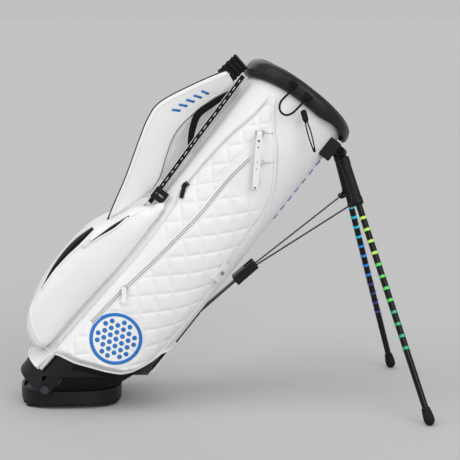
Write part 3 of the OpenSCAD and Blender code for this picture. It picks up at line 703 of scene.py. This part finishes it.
# Far and near edge of each black gap, from the same conversion as PANEL_EDGE.
GAPS = (
    ([(-134, 161), (-142, 200), (-145, 247), (-141, 288), (-130, 328)],
     [(-132, 162), (-134, 205), (-132, 244), (-127, 278), (-122, 324)]),
    ([(-119, 285), (-109, 325), (-99, 360), (-85, 396)],
     [(-119, 281), (-103, 323), (-90, 357), (-84, 390)]),
)
ball_tape, ball_lips, ball_teeth = Batch(), Batch(), Batch()
for far_line, near_line in GAPS:
    front = crescent(far_line, near_line, 1.0)
    ball_tape.patch(front, crescent(far_line, near_line, -1.5))
    for line in (front[:, 0], front[:, -1]):
        ball_lips.tube(relax(line), 2.1 * MM)
    middle = relax(front[:, 4])
    ball_teeth.tube(middle, 1.5 * MM)
    for point in smooth_path(middle, 0.0026):
        ball_teeth.tube([point - (0, 0.0022, 0), point + (0, 0.0022, 0)], 0.7 * MM, 5)
ball_tape.make("ball_zip_tape", BLACK_CLOTH, slot="black_fabric", replaces=("zip_tapes_ball",))
ball_lips.make("ball_zip_lips", WHITE_TRIM, slot="white_leather")
ball_teeth.make("ball_zip_teeth", PLASTIC, slot="black_plastic")

side_tape = Batch()
teeth = Batch()
SHORT_ZIPS = ([(7, 697), (22, 707), (38, 717)], [(47, 648), (61, 659), (76, 671)])
for side in (RIGHT, LEFT):
    lines = [([(u, w) for w, u in ZIP_B], 3.4), (seam_line(SEAM_A, TUBE_R + 3, 506, 764, 16), 2.4)]
    if side == RIGHT:
        lines += [(line, 2.2) for line in SHORT_ZIPS]
    for line, half in lines:
        edges = [relax(on_side(offset_line(line, s), side, 0.6, 4.0)) for s in (-half, half)]
        count = min(map(len, edges))
        if count < 3:
            continue
        pair = [e[np.linspace(0, len(e) - 1, count).astype(int)] for e in edges]
        front = np.stack((pair[0], (pair[0] + pair[1]) / 2, pair[1]), 1)
        side_tape.patch(front, front - np.array((0, side, 0)) * 1.2 * MM)
        middle = front[:, 1] + np.array((0, side, 0)) * 0.6 * MM
        teeth.tube(middle, 0.9 * MM, 6)
side_tape.make(
    "side_zip_tape", ZIP_GREY, slot="white_plastic", replaces=("zip_tapes_sides", "zip_tapes_valuables"))
teeth.make("side_zip_teeth", WHITE_PLASTIC, slot="white_plastic")

# ---- round patch: a ring and a field of dots, like the dimples of a golf ball ----
def disc_patch(batch, centre, inner, outer_r, lift, thick, mark=0, rings=4, around=72):
    front = np.zeros((rings, around, 3))
    back = np.zeros((rings, around, 3))
    for i, r in enumerate(np.linspace(inner, outer_r, rings)):
        for j in range(around):
            t = 2 * math.pi * j / around
            u, w = centre[0] + r * math.cos(t), centre[1] + r * math.sin(t)
            front[i, j] = cast(u, w, RIGHT, lift)
            back[i, j] = cast(u, w, RIGHT, lift - thick)
    front = np.concatenate((front, front[:, :1]), 1)
    back = np.concatenate((back, back[:, :1]), 1)
    batch.add(*thick_patch(front, back), mark)


badge = Batch()
disc_patch(badge, PATCH_AT, 0.5, PATCH_R, 1.0, 2.0, 0, 8)
disc_patch(badge, PATCH_AT, 47.5, 54.5, 1.7, 1.5, 1)
for i in range(-3, 4):
    for j in range(-3, 4):
        spot = (PATCH_AT[0] + 14.5 * (i + 0.5 * (j % 2)), PATCH_AT[1] + 12.6 * j)
        if math.hypot(spot[0] - PATCH_AT[0], spot[1] - PATCH_AT[1]) < 39:
            disc_patch(badge, spot, 0.4, 5.0, 1.7, 1.5, 1, 2, 20)
badge.make("patch_ring_and_dots", [WHITE_TRIM, BLUE], slot="patch_blue", replaces=("round_patch",))

# ---- padded cuff ----
def cuff_height(angle, z):
    """Place along the tube of a cuff point: the cuff rises and narrows at the sides."""
    side_part = abs(math.sin(math.radians(angle))) ** 1.6
    front_part = max(0.0, min(1.0, (75 - min(angle, 360 - angle)) / 20))
    z *= 1 - 0.36 * side_part
    if z < 0:
        z = z * (1 - 0.75 * front_part) - 7 * side_part
    return TUBE_TOP - 4 + 27 * side_part + z


def cuff():
    around = np.arange(0, 360, 3.0)
    profile = smooth_path([
        (0.6, -21), (6, -22), (12.5, -18), (15.5, -6), (15, 8), (10, 19), (2, 23.5), (-6, 20), (-9, 12), (-4, 2),
        (0.6, -8)], 3.6, True)
    grid = np.zeros((len(around), len(profile), 3))
    for i, a in enumerate(around):
        for j, (off, z) in enumerate(profile):
            u, v = section(a, TUBE_R + off)
            grid[i, j] = (u, v, cuff_height(a, z))
    points = row(grid)
    puff = wrinkle(points, 26.0, 3.0) * 1.6 + wrinkle(points, 70.0, 9.0) * 0.6
    out = np.stack((grid[..., 0] - TUBE_U, grid[..., 1], 0 * grid[..., 0]), -1)
    out /= np.maximum(np.linalg.norm(out, axis=-1, keepdims=True), 1e-6)
    points = row(grid + out * puff[..., None])
    rows, cols = grid.shape[:2]
    piece = add_piece(
        "padded_cuff", points.reshape(-1, 3), grid_faces(rows, cols, True, True), CUFF,
        replaces=("top_cuff",))
    subdivide(piece)
    lines = Batch()
    for off, z, radius in ((13.6, -15.5, 1.3), (4, 22.6, 1.1)):
        ring = []
        for a in np.arange(0, 360, 2.0):
            u, v = section(a, TUBE_R + off)
            ring.append((u, v, cuff_height(a, z)))
        lines.tube(row(ring), radius * MM, 6, True)
    lines.make("cuff_seams", CUFF, slot="black_fabric")


cuff()

# ---- straps ----
def ribbon(name, centres, acrosses, halves, thick, mats, replaces=(), crown=0.0, sides=28,
           body="bag", square=True):
    """Closed band along a path; the first material faces its normal, the second its back."""
    c, x = np.asarray(centres, float), np.asarray(acrosses, float)
    run = np.gradient(c, axis=0)
    run /= np.linalg.norm(run, axis=1, keepdims=True)
    if square:
        x = x - run * (x * run).sum(1, keepdims=True)
    x = x / np.linalg.norm(x, axis=1, keepdims=True)
    up = np.cross(run, x)
    up /= np.linalg.norm(up, axis=1, keepdims=True)
    t = np.linspace(0, 2 * math.pi, sides, endpoint=False)
    px, py = power(np.cos(t), 0.45), power(np.sin(t), 0.75)
    halves = np.broadcast_to(np.asarray(halves, float), (len(c),))[:, None, None]
    steps = np.arange(len(c))
    taper = np.clip(np.minimum(steps, steps[::-1]) / 2.0 + 0.35, 0, 1)[:, None, None]
    swell = crown * (1 - px[None, :, None] ** 2) * np.sign(py)[None, :, None]
    lift = (thick / 2) * py[None, :, None] * taper + swell
    points = c[:, None] + x[:, None] * px[None, :, None] * halves + up[:, None] * lift
    faces = grid_faces(len(c), sides, False, True)
    around = [0 if math.sin(t[j] + math.pi / sides) > -0.15 else 1 for j in range(sides)]
    marks = around * (len(c) - 1)
    last = (len(c) - 1) * sides
    faces += [tuple(range(sides))[::-1], tuple(last + k for k in range(sides))]
    piece = add_piece(
        name, points.reshape(-1, 3) * MM, faces, mats, body,
        (marks if len(mats) > 1 else [0] * len(marks)) + [0, 0], replaces)
    return piece, c, x, up, halves[:, 0, 0]


def edge_lines(batch, c, x, up, halves, inset, height, radius, mark=0):
    for s in (-1, 1):
        batch.tube((c + x * s * (halves[:, None] - inset) + up * height) * MM, radius * MM, 6, mark=mark)


SHIFT = np.array((2.5, 0.0, 0.0))
OUTER_EDGE = [(13, -52, 709), (-56, -56, 680), (-127, -60, 643), (-153, -62, 609), (-172, -63, 563),
              (-200, -62, 487), (-222, -60, 437), (-240, -56, 394)]
INNER_EDGE = [(34, -30, 668), (-10, -34, 651), (-56, -38, 617), (-84, -42, 592), (-103, -44, 563),
              (-118, -46, 521), (-130, -46, 483), (-152, -46, 452)]
edge_a, edge_b = resample(np.array(OUTER_EDGE, float), 44), resample(np.array(INNER_EDGE, float), 44)
centre = (edge_a + edge_b) / 2 + SHIFT
width = np.linalg.norm(edge_b - edge_a, axis=1)
strap, c, x, up, halves = ribbon(
    "shoulder_strap_right", centre, edge_b - edge_a, width / 2, 11.0, [WHITE, BLACK_CLOTH],
    ("strap_right",), crown=2.4, square=False)
subdivide(strap)
FACE = 1.0 if up[20][1] < 0 else -1.0
trim = Batch()
edge_lines(trim, c, x, up, halves, 0.5, 0.0, 1.9, 1)
edge_lines(trim, c, x, up, halves, 7.0, FACE * 6.2, 0.8, 0)
trim.make("strap_right_trim", [WHITE_TRIM, PLASTIC], slot="black_fabric")

mark = Batch()
for k in range(5):
    at = 7.5 + 2.1 * k
    i = int(at)
    spot = c[i] + (c[i + 1] - c[i]) * (at - i) + up[i] * FACE * 8.2
    across, along = x[i], np.cross(up[i], x[i])
    corners = ((-1, -1), (1, -1), (1, 1), (-1, 1))
    base = [spot + across * s * 9 + along * (2.6 * e + 2.2 * s) for s, e in corners]
    front = np.array([[base[0], base[1]], [base[3], base[2]]]) * MM
    mark.patch(front, front - up[i] * FACE * 1.6 * MM)
mark.make("strap_bars", BLUE, slot="patch_blue")

LEFT_ROUTE = [(40, 22, 672), (0, 24, 640), (-32, 26, 604), (-60, 26, 562), (-84, 26, 520), (-122, 26, 470)]
route = resample(np.array(LEFT_ROUTE, float), 34) + SHIFT
strap_l, c_l, x_l, up_l, halves_l = ribbon(
    "shoulder_strap_left", route, np.tile((0.75, 0.5, -0.45), (34, 1)), 27.0, 11.0, [WHITE, BLACK_CLOTH],
    ("strap_left",), crown=1.5)
subdivide(strap_l)
trim = Batch()
edge_lines(trim, c_l, x_l, up_l, halves_l, 0.2, 0.0, 1.8)
trim.make("strap_left_trim", WHITE_TRIM, slot="white_leather")

LINING = [(34, -40, 667), (12, -42, 655), (-18, -44, 636), (-46, -46, 615), (-58, -47, 583),
          (-62, -47, 556), (-63, -46, 543)]
lining_path = resample(np.array(LINING, float), 30)
lining_half = 7.5 * np.sin(np.linspace(0.35, 2.5, 30)) ** 0.8
ribbon("strap_lining", lining_path, np.tile((0.8, 0.1, -0.6), (30, 1)), lining_half, 7.0, [BLACK_CLOTH],
       (), sides=16)

hub_route = resample(np.array([(7, -31, 691), (25, -30, 709), (44, -30, 726)], float), 14) + SHIFT
_, c_h, x_h, up_h, _ = ribbon(
    "webbing_hub", hub_route, np.tile((0.5, 0.0, -0.85), (14, 1)), 19.0, 8.0, [WEBBING],
    ("strap_hub",))
hub_rows = Batch()
for k in (1, 4, 7, 10, 12):
    line = [c_h[k] + x_h[k] * s * 20 - up_h[k] * 4.6 for s in np.linspace(-1, 1, 8)]
    hub_rows.tube(np.array(line) * MM, 2.4 * MM, 8)
    line = [c_h[k] + x_h[k] * s * 20 + up_h[k] * 4.6 for s in np.linspace(-1, 1, 8)]
    hub_rows.tube(np.array(line) * MM, 2.4 * MM, 8)
hub_rows.make("hub_bars", PLASTIC, slot="black_plastic")

WEB_ROUTE = [(46, -62, 696), (0, -64, 634), (-50, -64, 568), (-104, -62, 494), (-150, -58, 432)]
web_route = resample(np.array(WEB_ROUTE, float), 60) + SHIFT
_, c_w, x_w, up_w, halves_w = ribbon(
    "printed_webbing", web_route, np.tile((0.6, -0.7, -0.4), (60, 1)), 7.5, 2.6, [WEBBING],
    ("strap_webbing",), sides=16)
dashes = Batch()
W_FACE = 1.0 if up_w[20][1] < 0 else -1.0
edge_lines(dashes, c_w, x_w, up_w, halves_w, 0.5, W_FACE * 1.0, 0.55)
for k in range(2, 56, 3):
    long_dash = 1.1 + 0.8 * (k % 2)
    a, b = c_w[k], c_w[k + 1]
    dashes.tube(np.array((a, a + (b - a) * long_dash)) * MM + up_w[k] * W_FACE * 1.4 * MM, 0.75 * MM, 6)
dashes.make("webbing_dashes", WHITE_TRIM, slot="white_plastic")


# ---- black bellows between the tube and the sole ----
def sole_point(angle, inset):
    a = math.radians(angle)
    x = HINGE[0] + 53 + (107 - inset) * power(math.cos(a), 0.78)
    return np.array((x, (98 - inset) * power(math.sin(a), 0.78)))


def bellows_half(side):
    spread = side * np.linspace(9, 104, 56)
    depth = np.linspace(0, 1, 30)
    front = np.zeros((len(spread), len(depth), 3))
    for i, a in enumerate(spread):
        u, v = section(a, TUBE_R - 1.0)
        top = row((u, v, bottom(u) + 8.0)) / MM
        low = np.array((*sole_point(a, 7.0), 37.0))
        for j, t in enumerate(depth):
            p = top + (low - top) * t
            out = np.array((p[0] - (-300), p[1], 0.0))
            out /= max(np.linalg.norm(out), 1e-6)
            belly = 5.0 * math.sin(math.pi * t) + 1.4 * math.sin(3.5 * math.pi * t) * math.sin(math.pi * t)
            front[i, j] = p + out * belly
    front *= MM
    ripple = wrinkle(front, 20.0, 2.0) * 3.0 + wrinkle(front, 55.0, 7.0) * 1.0
    fade = np.sin(np.pi * depth)[None, :, None]
    out = front - np.array((-0.30, 0, 0.07))
    out[..., 2] = 0
    out /= np.linalg.norm(out, axis=-1, keepdims=True)
    front = front + out * (ripple * MM)[..., None] * fade
    return front, front - out * 2.0 * MM


def bellows():
    cloth = Batch()
    for side in (RIGHT, LEFT):
        cloth.patch(*bellows_half(side))
    piece = cloth.make("base_bellows", BLACK_CLOTH, None, "black_fabric", ("base_gusset",))
    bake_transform(piece)


bellows()

# ---- small trims ----
bits = Batch()
TAB_TURN = 0.73
TAB_AXES = np.array((
    (math.cos(-TAB_TURN), 0, math.sin(TAB_TURN)), (0, 1, 0), (-math.sin(TAB_TURN), 0, math.cos(TAB_TURN))))
for u_w in ((146, 682), (176, 656)):
    for k in range(2):
        pad = np.array([[(-7, 0, -8 + k), (7, 0, -8 + k)], [(-5.5, 0, 9), (5.5, 0, 9)]], float)
        base = pad @ TAB_AXES + np.array((u_w[0], -137.5 + 2.2 * k, u_w[1]))
        bits.patch(base * MM, (base + np.array((0, 2.2, 0))) * MM)
bits.make("towel_loop_tabs", WEBBING, slot="black_fabric", replaces=("towel_tabs",))

toggle = Batch()
pin = np.array((166.0, -141.0, 626.0))
lean_t = math.radians(16)
axis_t = np.array((math.sin(lean_t), 0, -math.cos(lean_t)))
across_t = np.array((math.cos(lean_t), 0, math.sin(lean_t)))
head = [(-5, 2.0), (-4, 4.6), (-1, 6.2), (4, 6.6), (9, 6.0), (14, 6.4), (19, 5.2), (22, 3.0), (23, 1.0)]
head_path = np.array([pin + axis_t * d for d, _ in head])
toggle.tube(head_path * MM, np.array([r for _, r in head]) * MM, 20, mark=0)
for s in (-1, 1):
    cord_path = [pin + axis_t * 20 + across_t * s * 2.0, pin + axis_t * 40 + across_t * s * 3.4,
                 pin + axis_t * 62 + across_t * s * 3.0, pin + axis_t * 80 + across_t * s * 1.6]
    toggle.tube(smooth_path(cord_path, 3.0) * MM, 1.4 * MM, 8, mark=1)
end = [pin + axis_t * 76, pin + axis_t * 80, pin + axis_t * 85]
toggle.tube(np.array(end) * MM, np.array((2.6, 3.4, 2.4)) * MM, 12, mark=0)
toggle.make("toggle_and_loop", [RUBBER, CORD], "toggle", "black_cord", ("toggle_puller",))

underside = Batch()
for k in range(7):
    w0 = 575 + 24 * k
    grid_w = np.linspace(w0, w0 + 13, 3)[None, :]
    grid_a = np.linspace(8, 21, 5)[:, None]
    underside.patch(skin(RIGHT, grid_a, grid_w, 0.8), skin(RIGHT, grid_a, grid_w, -0.4))
underside.make("underside_bars", BLUE, slot="patch_blue")

tab = Batch()
grid_a = np.linspace(25, 36, 6)[:, None]
grid_w = np.linspace(764, 788, 6)[None, :]
tab.patch(skin(RIGHT, grid_a, grid_w, 4.0), skin(RIGHT, grid_a, grid_w, 0.5))
tab.make("hinge_tab", WHITE_TRIM, slot="white_leather")

sleeve_a = np.linspace(-14, 14, 41)[:, None]
sleeve_w = np.linspace(150, 238, 30)[None, :]
proud = 5.4 * smoothstep((14 - np.abs(sleeve_a)) / 7.5) + 0.4
sleeve = Batch()
sleeve.patch(skin(LEFT, sleeve_a, sleeve_w, proud), skin(LEFT, sleeve_a, sleeve_w, proud - 1.2))
sleeve.make("rod_sleeve", WHITE, slot="white_leather")


def pull_line(node, joint):
    """Pivot and far end of a zip pull, in millimetres, with its face normal."""
    pin = next(j for j in frame["record"]["behaviour"]["joints"] if j["name"] == joint)
    start = np.array(pin["pos_m"]) / MM
    verts = np.array([v.co for v in frame["nodes"][node].data.vertices]) / MM
    far = verts[np.argsort(np.linalg.norm(verts - start, axis=1))[-4:]].mean(0)
    normal = np.array(pin["axis"], float)
    normal /= np.linalg.norm(normal)
    return start, far, normal * (-1 if normal[1] > 0 else 1)


start, far, normal = pull_line("pull_valuables_top", "swing_valuables_top")
line = start + (far - start) * np.linspace(-0.04, 1.0, 24)[:, None]
halves = 6.8 * np.minimum(1, np.sin(np.linspace(0.25, math.pi - 0.25, 24)) ** 0.35 + 0.05)
ribbon("long_pull_plate", line, np.tile(np.cross(far - start, normal), (24, 1)), halves, 2.6,
       [WHITE_PLASTIC], ("pull_valuables_top",), sides=20, body="pull_valuables_top")
studs = Batch()
for t, r in ((0.13, 2.6), (0.24, 1.7), (0.5, 1.2), (0.62, 1.2), (0.95, 2.1)):
    spot = start + (far - start) * t
    studs.tube(np.array((spot + normal * 0.6, spot + normal * 1.9)) * MM, np.array((r, r * 0.8)) * MM, 14)
studs.make("long_pull_studs", DARK_STEEL, "pull_valuables_top", "steel")
start, far, normal = pull_line("pull_valuables_low", "swing_valuables_low")
down = (far - start) / np.linalg.norm(far - start)
over = np.cross(down, normal)
over *= 1 if over[0] > 0 else -1
hook_line = [(0, 3), (-2.5, 6), (-3, 14), (-3, 26), (-2.5, 36), (0.5, 40.5), (3.2, 38), (3.4, 33)]
hook = Batch()
hook_path = np.array([start + down * d + over * o for o, d in hook_line])
hook.tube(smooth_path(hook_path, 1.5) * MM, 1.35 * MM, 10)
hook.tube(np.array((start - normal * 1.2, start + normal * 1.6)) * MM, 3.2 * MM, 16)
hook.make("hook_pull", WHITE_PLASTIC, "pull_valuables_low", "white_plastic", ("pull_valuables_low",))


def softened(node, voxel, rounds, mat):
    """A voxel-remeshed, smoothed copy that replaces a hard CAD node and follows its body."""
    source = frame["nodes"][node]
    piece = bpy.data.objects.new("moulded_" + node, source.data.copy())
    SCENE.collection.objects.link(piece)
    remesh = piece.modifiers.new("remesh", "REMESH")
    remesh.mode = "VOXEL"
    remesh.voxel_size = voxel
    smooth = piece.modifiers.new("smooth", "SMOOTH")
    smooth.factor = 0.5
    smooth.iterations = rounds
    graph = bpy.context.evaluated_depsgraph_get()
    fresh = bpy.data.meshes.new_from_object(piece.evaluated_get(graph))
    piece.modifiers.clear()
    piece.data = fresh
    fresh.materials.clear()
    fresh.materials.append(mat)
    fresh.polygons.foreach_set("use_smooth", [True] * len(fresh.polygons))
    body = next(b for b, names in frame["record"]["behaviour"]["bodies"].items() if node in names)
    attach(piece, body)
    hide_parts(node)


# voxel size in metres and rounds of smoothing for each rounded copy
for node, voxel, rounds in (
    ("leg_bracket", 0.0016, 7), ("fork_connector", 0.0011, 9), ("webbing_buckle", 0.0008, 5),
    ("leg_housing_right", 0.0013, 5), ("leg_housing_left", 0.0013, 5),
):
    softened(node, voxel, rounds, PLASTIC)

# ---- materials on the CAD nodes that stay ----
for names, mat in (
    (("divider_frame", "tube_floor", "rod_guide", "rod_bracket", "base_collar", "sole_plate"), PLASTIC),
    (("divider_panels",), BLACK_CLOTH),
    (("sole_treads", "foot_right", "foot_left", "pull_upper", "pull_ball"), RUBBER),
    (("leg_pins", "sole_hinge_pins"), DARK_STEEL),
    (("keeper_rivet",), STEEL),
    (("slide_rod", "spring_rod", "fork_wire_right", "fork_wire_left"), DARK_STEEL),
    (("slider_ball", "slider_upper"), DARK_STEEL),
    (("slider_right", "slider_left", "slider_valuables_top", "slider_valuables_low"), SILVER),
    (("leg_tube_right", "leg_tube_left"), ENAMEL),
    (("pull_right", "pull_left", "keeper_strap"), WHITE_PLASTIC),
):
    for node in names:
        finish_node(node, mat)

GREENS = [(0.45, 0.80, 0.10)] * 4 + [(0.08, 0.60, 0.10)] * 4 + [(0.01, 0.38, 0.14)] * 4
BLUES = [(0.0, 0.58, 0.86)] * 4 + [(0.01, 0.26, 0.86)] * 4 + [(0.03, 0.03, 0.25)] * 4
for side, node, colours in ((RIGHT, "leg_bands_right", GREENS), (LEFT, "leg_bands_left", BLUES)):
    low_c, high_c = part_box(node)
    y_top, y_low = sorted((abs(low_c[1]), abs(high_c[1])))
    top = np.array((low_c[0], side * y_top, high_c[2]))
    foot = np.array((high_c[0], side * y_low, low_c[2]))
    way = (foot - top) / np.linalg.norm(foot - top)
    finish_node(node, banded(node + "_enamel", tuple(way), float(top @ way), float(foot @ way), colours))

# ---- stage and light ----
def stage_mat():
    mat, nodes, links, bsdf = shader("pale_floor", (0.515, 0.515, 0.515), 0.95)
    bsdf.inputs["Specular IOR Level"].default_value = 0.0
    return mat


FLOOR_R = 70.0
turns = np.linspace(0, 2 * math.pi, 64, endpoint=False)
floor_verts = [(0.0, 0.0, 0.0)] + [(FLOOR_R * math.cos(t), FLOOR_R * math.sin(t), 0.0) for t in turns]
floor_faces = [(0, 1 + k, 1 + (k + 1) % 64) for k in range(64)]
backdrop = add_piece("pale_ground", floor_verts, floor_faces, stage_mat(), None)


def soft_sun(name, way, energy, spread):
    data = bpy.data.lights.new(name, "SUN")
    data.energy = energy
    data.angle = math.radians(spread)
    light = bpy.data.objects.new(name, data)
    SCENE.collection.objects.link(light)
    light.rotation_euler = Vector(way).to_track_quat("-Z", "Y").to_euler()


soft_sun("key", (-0.35, 0.85, -0.4), 1.35, 45)
soft_sun("top", (0.5, 0.35, -0.8), 1.1, 60)
soft_sun("rim", (-0.1, -0.9, -0.5), 0.5, 60)
world = bpy.data.worlds.new("studio")
SCENE.world = world
world.use_nodes = True
world.node_tree.nodes["Background"].inputs["Color"].default_value = (1.0, 1.0, 1.0, 1)
world.node_tree.nodes["Background"].inputs["Strength"].default_value = 0.527
SCENE.view_settings.view_transform = "Standard"
